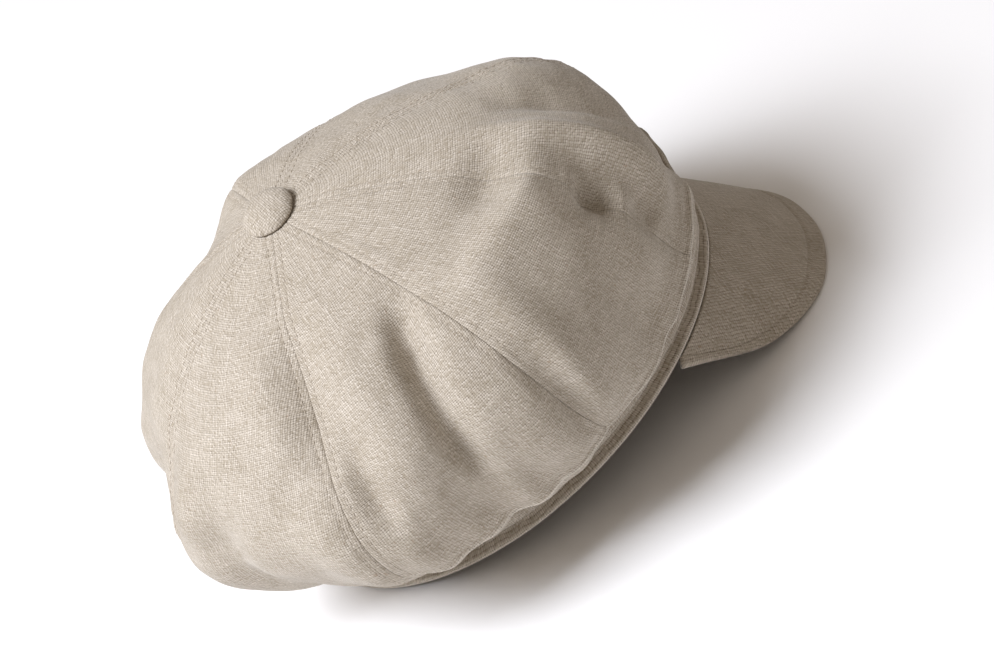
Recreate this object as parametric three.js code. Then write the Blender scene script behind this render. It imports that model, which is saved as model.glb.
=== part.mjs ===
// A newsboy cap of natural linen, sewn from eight gores that meet under a covered button.
// The full crown is gathered into an upright band, and a short stiff peak hangs from the
// band's front. The cap lies as it rests on a table: the back of the band and the outer
// edge of the peak touch the surface, and the front of the crown stands up.
//
// Frame: +Z is up, the peak points to -Y, and the wearer's right side is at -X.
// Shapes are worked out with the band level, then the whole cap leans back to its rest.

import * as THREE from 'three';

// Driving dimensions in millimetres
const BAND_HALF_LENGTH = 103;
const BAND_HALF_WIDTH = 84;
const BAND_HEIGHT = 29.8;
const BAND_WALL = 2.2;
const CLOTH_WALL = 1.6;
const GORE_LENGTH = 205;
const GAP = 0.3;
const BUTTON_RADIUS = 11;
const BUTTON_RISE = 5;
const SHANK_RADIUS = 4.1;
const SHANK_DEPTH = 3.6;
const CROWN_HOLE_RADIUS = 4.5;
const PEAK_THICKNESS = 3.2;
const PEAK_ARCH = 0.8;
const PEAK_FORWARD = 129;
const PEAK_DROP = 44;

// Driving angles in degrees; a bearing runs from the front towards the wearer's right
const PEAK_TURN = 6;
const PEAK_ROOT_BEARING = 55.5;

// Depth of cloth pressed flat where the cap touches the surface it rests on
const PRESSED_FLAT = 0.7;

const LINEN_COLOUR = '#c3b7a6';
const LINEN_ROUGHNESS = 0.95;

const radians = THREE.MathUtils.degToRad;

// Turn rows of numbers into objects that hold a value under each column's name.
function table(columns, rows) {
  return rows.map((row) => Object.fromEntries(columns.map((name, i) => [name, row[i]])));
}

// Rings of the crown, from the button (along 0) to the band (along 1). Each ring is a soft
// oval. Its centre moves back by shift, and its reach and height are given in four
// directions. Puff is how far a panel swells between its seams.
const RINGS = table(
  ['along', 'shift', 'reachFront', 'reachRight', 'reachBack', 'reachLeft',
    'heightFront', 'heightRight', 'heightBack', 'heightLeft', 'puff'],
  [
    [0.00, 17, 0, 0, 0, 0, 131, 131, 131, 131, 0.0],
    [0.18, 17, 42, 42, 40, 37, 125, 126, 126, 123, 0.6],
    [0.40, 16, 84, 82, 80, 61, 109, 111, 109, 101, 2.4],
    [0.62, 15, 111, 109, 110, 77, 81, 83, 86, 75, 4.0],
    [0.78, 12, 116, 115, 119, 87, 58, 54, 64, 54, 4.5],
    [0.90, 7, 113, 110, 115, 96, 42, 32, 43, 35, 2.2],
    [0.96, 3, 111, 100, 110, 94, 32, 26, 33, 26, 0.4],
    [1.00, 0, 102, 83, 102, 83, 30.4, 30.4, 30.4, 30.4, 0.0],
  ],
);

// Seams between the gores: bearing at the button, bearing at the band, and the gore that
// follows each seam with its own fullness and its number of steps across.
const GORES = table(
  ['name', 'atButton', 'atBand', 'fullness', 'stepsAcross'],
  [
    ['crown_panel_front_right', 0, 0, 1.1, 9],
    ['crown_panel_right_front', 42, 43, 0.8, 9],
    ['crown_panel_right_back', 80, 82, 0.9, 10],
    ['crown_panel_back_right', 118, 127, 0.5, 10],
    ['crown_panel_back_left', 171, 174, 0.7, 8],
    ['crown_panel_left_back', 219, 219, 0.8, 7],
    ['crown_panel_left_front', 267, 266, 0.5, 7],
    ['crown_panel_front_left', 314, 313, 0.7, 7],
  ],
);
const GORE_STEPS_ALONG = 26;

// Folds of the loose cloth. Each runs from one place on the crown to another, where out is
// the distance from the button along the cloth. A fold bows sideways by bow, fades over its
// two ends, and has its own width on each side. Depth is positive for a valley and negative
// for a ridge.
const FOLDS = table(
  ['name', 'fromOut', 'fromBearing', 'toOut', 'toBearing', 'bow', 'widthLeft', 'widthRight', 'depth'],
  [
    ['deep side valley', 56, 80, 180, 102, 1, 8, 6, 10],
    ['upper end of the side valley', 70, 82, 104, 95, 2, 6, 6, 2.5],
    ['crest behind the side valley', 50, 101, 178, 108, 2, 7, 9, -2],
    ['lower crest behind the side valley', 130, 118, 200, 120, 0, 12, 12, -5],
    ['lower end of the side valley', 120, 104, 215, 106, 0, 16, 14, 7],
    ['hollow below the side pillow', 130, 94, 195, 96, 0, 10, 10, 3],
    ['side pillow', 75, 62, 195, 92, -8, 10, 24, -5.5],
    ['hollow along the side seam', 108, 75, 182, 83, 0, 8, 8, 3.5],
    ['ridge along the side seam', 100, 68, 190, 79, 0, 11, 9, -5],
    ['shoulder ridge', 107, 33, 94, 80, -3, 18, 9, -6],
    ['hollow inside the shoulder ridge', 82, 26, 84, 58, 0, 9, 9, 3],
    ['front dent', 112, 43, 140, 41, 0, 9, 9, 8],
    ['second front dent', 140, 40, 168, 39, 0, 8, 8, 3],
    ['front side drawn in', 120, 59, 205, 59, 0, 20, 18, 5],
    ['front ridge', 50, 29, 185, 30, 0, 5, 13, -5],
    ['hollow under the front ridge', 88, 35, 165, 35, 0, 8, 9, 4],
    ['front valley', 70, 18, 170, 19, 0, 9, 6, 5],
    ['front valley by the centre seam', 90, 13, 170, 14, 0, 11, 11, 2.5],
    ['valley behind the back seam', 40, 116, 122, 122, 0, 8, 9, 5],
    ['soft ridge behind that valley', 35, 132, 115, 132, 0, 12, 12, -3],
    ['valley before the back seam', 85, 114, 165, 119, 0, 6, 6, 3.5],
    ['low back swell', 108, 128, 202, 128, 0, 17, 17, -8],
    ['soft back valley', 100, 153, 200, 155, 0, 14, 14, 6],
    ['soft back ridge', 80, 161, 150, 161, 0, 12, 12, -3],
    ['hollow behind the back ridge', 80, 174, 155, 174, 0, 16, 16, 3],
    ['drawn-in centre back', 85, 192, 225, 184, 0, 18, 18, 17],
    ['pinch of the centre back', 112, 190, 172, 184, 0, 14, 14, 5],
    ['notch of the centre back', 120, 198, 182, 195, 0, 10, 9, 4],
    ['back corner swell', 135, 166, 225, 164, 0, 30, 20, -4.5],
    ['back edge drawn in', 150, 148, 226, 150, 0, 16, 14, 3],
    ['right edge drawn in', 150, 106, 232, 106, 0, 24, 24, 2.5],
    ['swell along the front edge', 190, 12, 190, 72, -25.5, 4, 9, -2],
    ['swell along the right edge', 190, 45, 190, 115, -34.5, 4, 9, -2],
    ['front top swell', 78, 0, 166, -2, 0, 18, 18, -6],
    ['front shoulder drawn in', 148, 16, 232, 10, 0, 30, 30, 6],
    ['front left hollow', 60, 340, 125, 340, 0, 14, 14, 2.5],
    ['left top swell', 40, 290, 100, 290, 0, 25, 25, -2],
    ['swell on the left of the button', 20, 272, 90, 272, 0, 15, 15, -4],
    ['hollow behind that swell', 15, 240, 90, 238, 0, 14, 14, 5],
    ['left back swell', 45, 212, 120, 206, 0, 14, 14, -4],
  ],
);
const FOLD_END_SHARE = 0.4;
const FOLDS_END_BEFORE_BAND = 0.06;

// Band section from its lower edge up: inset is measured inwards from the outer face. The
// lowest strip is stitched and rolls under.
const BAND_SECTION = table(
  ['height', 'inset'],
  [
    [0.0, 1.6],
    [1.2, 0.9],
    [4.6, 0.5],
    [5.4, 1.0],
    [6.4, 0.1],
    [14.0, 0.0],
    [24.0, 0.2],
    [BAND_HEIGHT, 0.3],
  ],
);
const BAND_STEPS_AROUND = 72;

// Outer edge of the peak from its left corner (place -1) to its right one (place 1). Onto is
// how far the edge drops towards the resting surface, as a share of the full way.
const PEAK_EDGE = table(
  ['place', 'forward', 'side', 'onto'],
  [
    [-1.00, 52, -68, 0.10],
    [-0.85, 83, -56.5, 0.86],
    [-0.70, 101.5, -47, 0.985],
    [-0.50, 115.5, -34, 1.0],
    [-0.25, 126, -18, 1.0],
    [0.00, 130, 1, 1.0],
    [0.25, 128.5, 20, 1.0],
    [0.50, 121, 38, 1.0],
    [0.70, 108.5, 52, 0.99],
    [0.85, 89.5, 62, 0.90],
    [0.93, 75, 66.5, 0.66],
    [1.00, 54, 69.5, 0.10],
  ],
);
// Share of the peak's thickness from its root to its rounded outer edge
const PEAK_SECTION = table(
  ['out', 'thickness'],
  [
    [0.00, 1.0],
    [0.15, 1.0],
    [0.32, 1.0],
    [0.50, 1.0],
    [0.68, 1.0],
    [0.84, 1.0],
    [0.95, 1.0],
    [0.985, 0.8],
    [1.00, 0.35],
  ],
);
const PEAK_STEPS_ACROSS = 30;
const PEAK_ROOT_DEPTH = 1.6;

// Outline of the covered button and its shank: distance from the axis and height above the
// cloth, from the shank's end over the rim to the top.
const BUTTON_SECTION = table(
  ['out', 'up'],
  [
    [0, -SHANK_DEPTH],
    [SHANK_RADIUS, -SHANK_DEPTH],
    [SHANK_RADIUS, GAP],
    [0.90 * BUTTON_RADIUS, GAP],
    [BUTTON_RADIUS, 0.25 * BUTTON_RISE],
    [0.96 * BUTTON_RADIUS, 0.48 * BUTTON_RISE],
    [0.82 * BUTTON_RADIUS, 0.72 * BUTTON_RISE],
    [0.55 * BUTTON_RADIUS, 0.90 * BUTTON_RISE],
    [0, BUTTON_RISE],
  ],
);
const BUTTON_STEPS_AROUND = 24;

// Rise from 0 to 1 with level ends.
function smooth(x) {
  const t = THREE.MathUtils.clamp(x, 0, 1);
  return t * t * (3 - 2 * t);
}

// Smooth curve through a table's points, straight at both ends: a cubic spline. The bending
// at each inner point follows from a row of equations that each join three neighbours.
function curveThrough(places, values) {
  const count = places.length;
  const bend = new Array(count).fill(0);
  const carried = new Array(count).fill(0);
  const step = (i) => places[i + 1] - places[i];
  const slope = (i) => (values[i + 1] - values[i]) / step(i);
  for (let i = 1; i < count - 1; i += 1) {
    const weight = step(i - 1) / (step(i - 1) + step(i));
    const pivot = weight * carried[i - 1] + 2;
    const target = 6 * (slope(i) - slope(i - 1)) / (step(i - 1) + step(i));
    carried[i] = (weight - 1) / pivot;
    bend[i] = (target - weight * bend[i - 1]) / pivot;
  }
  for (let i = count - 2; i > 0; i -= 1) {
    bend[i] += carried[i] * bend[i + 1];
  }
  return (place) => {
    let i = 0;
    while (i < count - 2 && place > places[i + 1]) {
      i += 1;
    }
    const width = step(i);
    const before = (places[i + 1] - place) / width;
    const after = 1 - before;
    const lift = (before ** 3 - before) * bend[i] + (after ** 3 - after) * bend[i + 1];
    return before * values[i] + after * values[i + 1] + lift * width * width / 6;
  };
}

// Value in any direction from values in four: the mean, one swing from front to back, one
// from right to left, and one that sets front and back against the two sides.
function aroundFrom(name) {
  const places = RINGS.map((ring) => ring.along);
  const terms = (mix) => curveThrough(places, RINGS.map((ring) => mix(
    ring[`${name}Front`], ring[`${name}Right`], ring[`${name}Back`], ring[`${name}Left`],
  )));
  const mean = terms((front, right, back, left) => (front + right + back + left) / 4);
  const foreAndAft = terms((front, right, back) => (front - back) / 2);
  const sideways = terms((front, right, back, left) => (right - left) / 2);
  const crossed = terms((front, right, back, left) => (front - right + back - left) / 4);
  return (along, bearing) => mean(along)
    + foreAndAft(along) * Math.cos(bearing)
    + sideways(along) * Math.sin(bearing)
    + crossed(along) * Math.cos(2 * bearing);
}

const reachAt = aroundFrom('reach');
const heightAt = aroundFrom('height');
const shiftAt = curveThrough(RINGS.map((ring) => ring.along), RINGS.map((ring) => ring.shift));
const puffAt = curveThrough(RINGS.map((ring) => ring.along), RINGS.map((ring) => ring.puff));

// Point of the smooth crown, before its lobes and folds.
function smoothCrown(along, bearing) {
  const reach = reachAt(along, bearing);
  return new THREE.Vector3(
    -reach * Math.sin(bearing),
    shiftAt(along) - reach * Math.cos(bearing),
    heightAt(along, bearing),
  );
}

// Outward direction of the smooth crown, from two short steps across each other.
function crownOutward(along, bearing) {
  const step = 0.004;
  const place = Math.max(along, 0.02);
  const down = smoothCrown(Math.min(place + step, 1), bearing);
  down.sub(smoothCrown(place - step, bearing));
  const round = smoothCrown(place, bearing + step);
  round.sub(smoothCrown(place, bearing - step));
  return round.cross(down).normalize();
}

// Depth of all folds at one place. A fold is a straight run on the spread-out cloth, bowed
// as a parabola; across it the depth falls off as a bell curve.
function foldDepth(along, bearing) {
  const spread = (out, angle) => new THREE.Vector2(out * Math.sin(angle), out * Math.cos(angle));
  const place = spread(along * GORE_LENGTH, bearing);
  let depth = 0;
  for (const fold of FOLDS) {
    const start = spread(fold.fromOut, radians(fold.fromBearing));
    const run = spread(fold.toOut, radians(fold.toBearing)).sub(start);
    const length = run.length();
    run.normalize();
    const offset = place.clone().sub(start);
    const share = offset.dot(run) / length;
    const bowed = fold.bow * 4 * share * (1 - share);
    const across = offset.x * run.y - offset.y * run.x - bowed;
    const width = across > 0 ? fold.widthRight : fold.widthLeft;
    const ends = smooth(share / FOLD_END_SHARE) * smooth((1 - share) / FOLD_END_SHARE);
    depth += fold.depth * ends * Math.exp(-((across / width) ** 2));
  }
  return depth * smooth((1 - along) / FOLDS_END_BEFORE_BAND);
}

// Point on one gore. Across runs from 0 at its first seam to 1 at its second, and below is
// the distance under the outer face.
function gorePoint(gore, next, across, along, below) {
  const first = THREE.MathUtils.lerp(gore.atButton, gore.atBand, along);
  const second = THREE.MathUtils.lerp(next.atButton, next.atBand, along);
  const bearing = radians(THREE.MathUtils.lerp(first, second, across));
  const lobe = 1 - Math.abs(2 * across - 1) ** 2.2;
  const swell = puffAt(along) * (gore.fullness * lobe - 0.6);
  const out = swell - foldDepth(along, bearing) - below;
  return smoothCrown(along, bearing).addScaledVector(crownOutward(along, bearing), out);
}

// Closed body between an outer and an inner grid of points, with walls round its border.
// A grid that closes on itself has no walls on its two joined sides.
function solidBetween(outer, inner, closed) {
  const rows = outer.length;
  const columns = outer[0].length;
  const points = [...outer.flat(), ...inner.flat()];
  const indices = [];
  const quad = (a, b, c, d) => indices.push(a, b, c, a, c, d);
  const out = (i, j) => i * columns + j % columns;
  const within = (i, j) => rows * columns + out(i, j);
  const lastColumn = closed ? columns : columns - 1;
  for (let j = 0; j < lastColumn; j += 1) {
    for (let i = 0; i < rows - 1; i += 1) {
      quad(out(i, j), out(i + 1, j), out(i + 1, j + 1), out(i, j + 1));
      quad(within(i, j), within(i, j + 1), within(i + 1, j + 1), within(i + 1, j));
    }
    quad(out(0, j), out(0, j + 1), within(0, j + 1), within(0, j));
    quad(out(rows - 1, j), within(rows - 1, j), within(rows - 1, j + 1), out(rows - 1, j + 1));
  }
  if (!closed) {
    for (let i = 0; i < rows - 1; i += 1) {
      quad(out(i, 0), within(i, 0), within(i + 1, 0), out(i + 1, 0));
      quad(out(i, columns - 1), out(i + 1, columns - 1), within(i + 1, columns - 1), within(i, columns - 1));
    }
  }
  return bodyFacingOut(points, indices);
}

// Geometry from points and triangles, turned over if its faces look inwards.
function bodyFacingOut(points, indices) {
  let volume = 0;
  for (let i = 0; i < indices.length; i += 3) {
    const [a, b, c] = [points[indices[i]], points[indices[i + 1]], points[indices[i + 2]]];
    volume += a.dot(b.clone().cross(c));
  }
  const facing = volume > 0 ? indices : indices.slice().reverse();
  const geometry = new THREE.BufferGeometry();
  geometry.setAttribute('position', new THREE.Float32BufferAttribute(points.flatMap((p) => p.toArray()), 3));
  geometry.setIndex(facing);
  return geometry;
}

// Grid of points from a function of row and column shares.
function grid(rows, columns, place) {
  return rows.map((row) => columns.map((column) => place(row, column)));
}

// Even shares from 0 to 1 in a number of steps.
function shares(steps) {
  return Array.from({ length: steps + 1 }, (_, i) => i / steps);
}

// Share of a gore's width that keeps half a gap clear of a seam, measured square to it.
function seamMargin(gore, next, across, along) {
  const step = 0.004;
  const aside = 0.02;
  const down = gorePoint(gore, next, across, Math.min(along + step, 1), 0);
  down.sub(gorePoint(gore, next, across, along - step, 0)).normalize();
  const round = gorePoint(gore, next, across + (across > 0 ? -aside : aside), along, 0);
  round.sub(gorePoint(gore, next, across, along, 0));
  return aside * GAP / 2 / round.cross(down).length();
}

function gorePanel(gore, next) {
  const top = CROWN_HOLE_RADIUS / GORE_LENGTH;
  // Rows crowd towards the band, where the cloth turns under most sharply.
  const rows = shares(GORE_STEPS_ALONG).map((t) => top + (1 - top) * (1 - (1 - t) ** 1.35));
  const face = (below) => grid(rows, shares(gore.stepsAcross), (along, across) => {
    const first = seamMargin(gore, next, 0, along);
    const second = 1 - seamMargin(gore, next, 1, along);
    return gorePoint(gore, next, THREE.MathUtils.lerp(first, second, across), along, below);
  });
  return solidBetween(face(0), face(CLOTH_WALL), false);
}

function bandRing() {
  const turns = shares(BAND_STEPS_AROUND).slice(0, -1).map((share) => share * 2 * Math.PI);
  const face = (wall) => grid(BAND_SECTION, turns, (row, turn) => new THREE.Vector3(
    -(BAND_HALF_WIDTH - row.inset - wall) * Math.sin(turn),
    -(BAND_HALF_LENGTH - row.inset - wall) * Math.cos(turn),
    row.height,
  ));
  return solidBetween(face(0), face(BAND_WALL), true);
}

// The resting surface under the level band slopes from the band's back to the peak's edge.
// The peak's middle surface stays above it by the lower half of its rounded edge.
const BAND_BACK = BAND_HALF_LENGTH - BAND_SECTION[0].inset;
const REST_SLOPE = PEAK_DROP / (BAND_BACK + PEAK_FORWARD);
const PEAK_EDGE_LIFT = 0.9;

// Middle surface of the peak. Place runs from -1 at its left corner to 1 at its right one,
// and out from 0 at the band to 1 at the outer edge.
function peakMiddle() {
  const places = PEAK_EDGE.map((row) => row.place);
  const edge = (name) => curveThrough(places, PEAK_EDGE.map((row) => row[name]));
  const [forward, side, onto] = [edge('forward'), edge('side'), edge('onto')];
  const turn = radians(PEAK_TURN);
  return (place, out) => {
    const bearing = radians(PEAK_ROOT_BEARING * place) + turn;
    const inset = BAND_WALL / 2 + BAND_SECTION[0].inset;
    const root = new THREE.Vector3(
      -(BAND_HALF_WIDTH - inset) * Math.sin(bearing),
      -(BAND_HALF_LENGTH - inset) * Math.cos(bearing),
      -PEAK_ROOT_DEPTH,
    );
    const tip = new THREE.Vector3(-side(place), -forward(place), 0);
    tip.applyAxisAngle(new THREE.Vector3(0, 0, 1), -turn);
    tip.z = -onto(place) * (REST_SLOPE * (BAND_BACK - tip.y) - PEAK_EDGE_LIFT);
    const arch = PEAK_ARCH * Math.sin(Math.PI * out) * (1 - place * place);
    return root.lerp(tip, out).add(new THREE.Vector3(0, -0.8 * arch, 0.6 * arch));
  };
}

function peakBoard() {
  const middle = peakMiddle();
  const step = 0.01;
  const columns = shares(PEAK_STEPS_ACROSS).map((share) => 2 * share - 1);
  const face = (side) => grid(PEAK_SECTION, columns, (row, place) => {
    const across = middle(Math.min(place + step, 1), row.out).sub(middle(Math.max(place - step, -1), row.out));
    const outwards = middle(place, Math.min(row.out + step, 1)).sub(middle(place, Math.max(row.out - step, 0)));
    const upwards = outwards.cross(across).normalize();
    return middle(place, row.out).addScaledVector(upwards, side * row.thickness * PEAK_THICKNESS / 2);
  });
  return solidBetween(face(1), face(-1), false);
}

function coveredButton() {
  const outline = BUTTON_SECTION.map((row) => new THREE.Vector2(row.out, row.up));
  const top = smoothCrown(0, 0);
  return new THREE.LatheGeometry(outline, BUTTON_STEPS_AROUND)
    .rotateX(Math.PI / 2)
    .translate(top.x, top.y, top.z);
}

// Lean the cap back onto its rest, then press the lowest cloth flat on the surface and put
// the origin below the middle of the cap.
function layDown(meshes) {
  for (const mesh of meshes) {
    mesh.geometry.rotateX(-Math.atan(REST_SLOPE));
  }
  const box = new THREE.Box3();
  meshes.forEach((mesh) => box.expandByObject(mesh));
  const floor = box.min.z + PRESSED_FLAT;
  const centre = box.getCenter(new THREE.Vector3());
  for (const mesh of meshes) {
    const position = mesh.geometry.getAttribute('position');
    for (let i = 0; i < position.count; i += 1) {
      position.setZ(i, Math.max(position.getZ(i), floor));
    }
    mesh.geometry.translate(-centre.x, -centre.y, -floor);
  }
}

const linen = new THREE.MeshStandardMaterial({
  name: 'woven_linen',
  color: LINEN_COLOUR,
  roughness: LINEN_ROUGHNESS,
  metalness: 0,
});

function piece(name, geometry) {
  const mesh = new THREE.Mesh(geometry, linen);
  mesh.name = name;
  return mesh;
}

const panels = GORES.map((gore, i) => {
  const follower = GORES[(i + 1) % GORES.length];
  const whole = i + 1 === GORES.length ? 360 : 0;
  const next = { atButton: follower.atButton + whole, atBand: follower.atBand + whole };
  return piece(gore.name, gorePanel(gore, next));
});
const meshes = [
  ...panels,
  piece('crown_button', coveredButton()),
  piece('band', bandRing()),
  piece('peak', peakBoard()),
];
layDown(meshes);

const cap = new THREE.Group();
cap.name = 'newsboy_cap';
cap.add(...meshes);
export default cap;
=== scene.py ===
# %% [markdown]
# # A newsboy cap in natural linen
# The cap is sewn from eight gores of plain-woven linen. They meet under a covered button,
# swell out into a full crown, and are gathered into an upright band. A short stiff peak is
# sewn to the front of the band. The solids of the construction model give the sizes. This
# lesson dresses each of them in cloth: its folds, seams, stitches and weave.

import bpy
import numpy as np
from mathutils import Matrix, Vector


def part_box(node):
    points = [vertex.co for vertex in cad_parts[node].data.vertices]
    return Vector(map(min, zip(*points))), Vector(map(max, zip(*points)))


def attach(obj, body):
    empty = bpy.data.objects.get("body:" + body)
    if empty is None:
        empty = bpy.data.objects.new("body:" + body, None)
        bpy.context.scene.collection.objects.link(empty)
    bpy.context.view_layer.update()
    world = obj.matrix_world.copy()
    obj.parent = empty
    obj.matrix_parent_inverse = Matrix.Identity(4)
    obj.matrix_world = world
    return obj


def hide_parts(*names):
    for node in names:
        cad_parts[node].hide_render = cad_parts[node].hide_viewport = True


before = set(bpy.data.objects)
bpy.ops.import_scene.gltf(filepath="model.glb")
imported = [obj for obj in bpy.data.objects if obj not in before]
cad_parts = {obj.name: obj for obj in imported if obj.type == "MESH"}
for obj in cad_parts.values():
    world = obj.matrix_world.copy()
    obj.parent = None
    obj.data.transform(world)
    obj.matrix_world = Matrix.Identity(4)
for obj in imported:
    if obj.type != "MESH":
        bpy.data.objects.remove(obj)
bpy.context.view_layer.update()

# %% [markdown]
# ## Sizes
# Every surface is worked out in millimetres with the band level, its lower edge at height 0
# and its middle at the origin. Bearings run from the front towards the wearer's right side.
# The cap then leans back until the back of its band and the edge of its peak touch the floor.

# %% Driving sizes in millimetres and degrees
BAND_HALF_LENGTH = 103.0
BAND_HALF_WIDTH = 84.0
BAND_HEIGHT = 29.8
BAND_WALL = 2.2
CLOTH_WALL = 1.2
GORE_LENGTH = 205.0
BUTTON_RADIUS = 11.0
CROWN_HOLE_RADIUS = 4.5
PEAK_THICKNESS = 3.2
PEAK_ARCH = 0.8
PEAK_FORWARD = 129.0
PEAK_DROP = 44.0
PEAK_TURN = 6.0
PEAK_ROOT_BEARING = 55.5
STITCH_ROW_FROM_SEAM = 2.75
STITCH_LENGTH = 2.3
STITCH_PITCH = 3.0
STITCH_THREAD_RADIUS = 0.17
MEAN_BAND_RADIUS = 94.0
print(f"the band is {2 * BAND_HALF_LENGTH:.0f} by {2 * BAND_HALF_WIDTH:.0f} mm outside")


def table(columns, rows):
    """Rows of a table as one array for each named column."""
    return {name: np.array(values) for name, values in zip(columns.split(), zip(*rows))}


# %% [markdown]
# ## The lean of the cap at rest
# A plain cap that is put down rests on the back of its band and on the edge of its peak.
# One turn about the side-to-side axis and one move take every point from the level band to
# that rest. The move is read from the band's own solid, so that nothing has to be fitted.

# %% From the level band to the cap at rest
BAND_FOOT_INSET = 1.6
BAND_TOP_INSET = 0.3
REST_SLOPE = PEAK_DROP / (BAND_HALF_LENGTH - BAND_FOOT_INSET + PEAK_FORWARD)
LEAN = -np.arctan(REST_SLOPE)


def lean_back(points):
    """Turn points about the X axis: y' = y cos - z sin and z' = y sin + z cos."""
    x, y, z = np.moveaxis(points, -1, 0)
    return np.stack([x, y * np.cos(LEAN) - z * np.sin(LEAN), y * np.sin(LEAN) + z * np.cos(LEAN)], -1)


def oval(bearing, inset, height):
    """Point of an oval of the band: x = -(half width - inset) sin, y = -(half length - inset) cos."""
    x = -(BAND_HALF_WIDTH - inset) * np.sin(bearing)
    y = -(BAND_HALF_LENGTH - inset) * np.cos(bearing)
    return np.stack([x, y, height + 0 * x], -1)


band_low, band_high = (np.array(corner) * 1000 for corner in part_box("band"))
front_top, back_top = lean_back(oval(np.array([0.0, np.pi]), BAND_TOP_INSET, BAND_HEIGHT))
TO_REST = np.array([
    (band_low[0] + band_high[0]) / 2, band_high[1] - back_top[1], band_high[2] - front_top[2],
])
print("the lean is", round(float(np.degrees(LEAN)), 2), "degrees, the move", TO_REST.round(1), "mm")


def at_rest(points):
    """Points in millimetres with the band level, to metres on the floor."""
    placed = lean_back(points) + TO_REST
    placed[..., 2] = np.maximum(placed[..., 2], 0.0)
    return placed / 1000


# %% [markdown]
# ## Smooth curves through a few named values
# A crown has no formula, but a tailor's few measures describe it well: how far it reaches and
# how high it stands at some rings between button and band. A cubic spline runs through the
# measures of each column. Round the crown, four directions are joined by slow waves.

# %% Splines and waves
def spline(places, values):
    """Natural cubic spline: piecewise cubics whose slope and bending meet at every place."""
    count, step = len(places), np.diff(places)
    slopes = np.diff(values) / step
    system, target = np.eye(count), np.zeros(count)
    for i in range(1, count - 1):
        system[i, i - 1:i + 2] = step[i - 1], 2 * (step[i - 1] + step[i]), step[i]
        target[i] = 6 * (slopes[i] - slopes[i - 1])
    bend = np.linalg.solve(system, target)

    def at(place):
        i = np.clip(np.searchsorted(places, place, side="right") - 1, 0, count - 2)
        before = (places[i + 1] - place) / step[i]
        after = 1 - before
        lift = (before**3 - before) * bend[i] + (after**3 - after) * bend[i + 1]
        return before * values[i] + after * values[i + 1] + lift * step[i] ** 2 / 6

    return at


def smooth(x):
    """Rise from 0 to 1 with level ends: 3 t squared minus 2 t cubed."""
    t = np.clip(x, 0, 1)
    return t * t * (3 - 2 * t)


def bell(distance, width):
    """Bell curve of height 1."""
    return np.exp(-((distance / width) ** 2))


def unit(vectors):
    """Vectors scaled to length 1."""
    return vectors / np.linalg.norm(vectors, axis=-1, keepdims=True)


LATTICE = 256


def random_waves(x, y, size, seed):
    """Smooth random field between about -1 and 1: random heights on a square lattice with
    cells of the given size in millimetres, blended by quintic steps."""
    heights = np.random.default_rng(seed).uniform(-1, 1, (LATTICE, LATTICE))
    u, v = x / size, y / size
    i, j = np.floor(u).astype(int), np.floor(v).astype(int)
    a, b = u - i, v - j
    a, b = a**3 * (a * (6 * a - 15) + 10), b**3 * (b * (6 * b - 15) + 10)
    i, j, next_i, next_j = i % LATTICE, j % LATTICE, (i + 1) % LATTICE, (j + 1) % LATTICE
    near = heights[i, j] * (1 - a) + heights[next_i, j] * a
    far = heights[i, next_j] * (1 - a) + heights[next_i, next_j] * a
    return near * (1 - b) + far * b


print("at its own width a bell curve is", round(float(bell(1, 1)), 2), "high")


# %% [markdown]
# ## The crown
# Each ring is a soft oval with its own reach and height at the front, right, back and left.
# The crown hangs over the band most at the wearer's right and at the back. Seams run from
# the button to the band, and the gore between two seams swells by its own fullness. In the
# tables, along runs from 0 at the button to 1 at the band, and angles are in degrees.

# %% Rings of the crown, and its gores
RINGS = table(
    "along shift reach_front reach_right reach_back reach_left "
    "height_front height_right height_back height_left puff",
    [
        (0.00, 17, 0, 0, 0, 0, 131, 131, 131, 131, 0.0),
        (0.18, 17, 42, 42, 40, 37, 125, 126, 126, 123, 0.6),
        (0.40, 16, 84, 82, 80, 61, 109, 111, 109, 101, 2.4),
        (0.62, 15, 111, 109, 110, 77, 81, 83, 86, 75, 4.0),
        (0.78, 12, 116, 115, 119, 87, 58, 54, 64, 54, 4.5),
        (0.90, 7, 113, 110, 115, 96, 42, 32, 43, 35, 2.2),
        (0.96, 3, 111, 100, 110, 94, 32, 26, 33, 26, 0.4),
        (1.00, 0, 102, 83, 102, 83, 30.4, 30.4, 30.4, 30.4, 0.0),
    ],
)
GORES = table("name at_button at_band fullness", [
    ("crown_panel_front_right", 0, 0, 1.1),
    ("crown_panel_right_front", 42, 43, 0.8),
    ("crown_panel_right_back", 80, 82, 0.9),
    ("crown_panel_back_right", 118, 127, 0.5),
    ("crown_panel_back_left", 171, 174, 0.7),
    ("crown_panel_left_back", 219, 219, 0.8),
    ("crown_panel_left_front", 267, 266, 0.5),
    ("crown_panel_front_left", 314, 313, 0.7),
])
SIDES = ("front", "right", "back", "left")
MIXES = {
    "mean": (0.25, 0.25, 0.25, 0.25),
    "fore and aft": (0.5, 0, -0.5, 0),
    "sideways": (0, 0.5, 0, -0.5),
    "crossed": (0.25, -0.25, 0.25, -0.25),
}


def around(measure):
    """A measure in any direction: mean + fore-and-aft cos + sideways sin + crossed cos 2b."""
    terms = [
        spline(RINGS["along"], sum(k * RINGS[f"{measure}_{side}"] for k, side in zip(mix, SIDES)))
        for mix in MIXES.values()
    ]

    def at(along, bearing):
        waves = (1, np.cos(bearing), np.sin(bearing), np.cos(2 * bearing))
        return sum(term(along) * wave for term, wave in zip(terms, waves))

    return at


reach, height = around("reach"), around("height")
shift, puff = (spline(RINGS["along"], RINGS[name]) for name in ("shift", "puff"))


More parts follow.
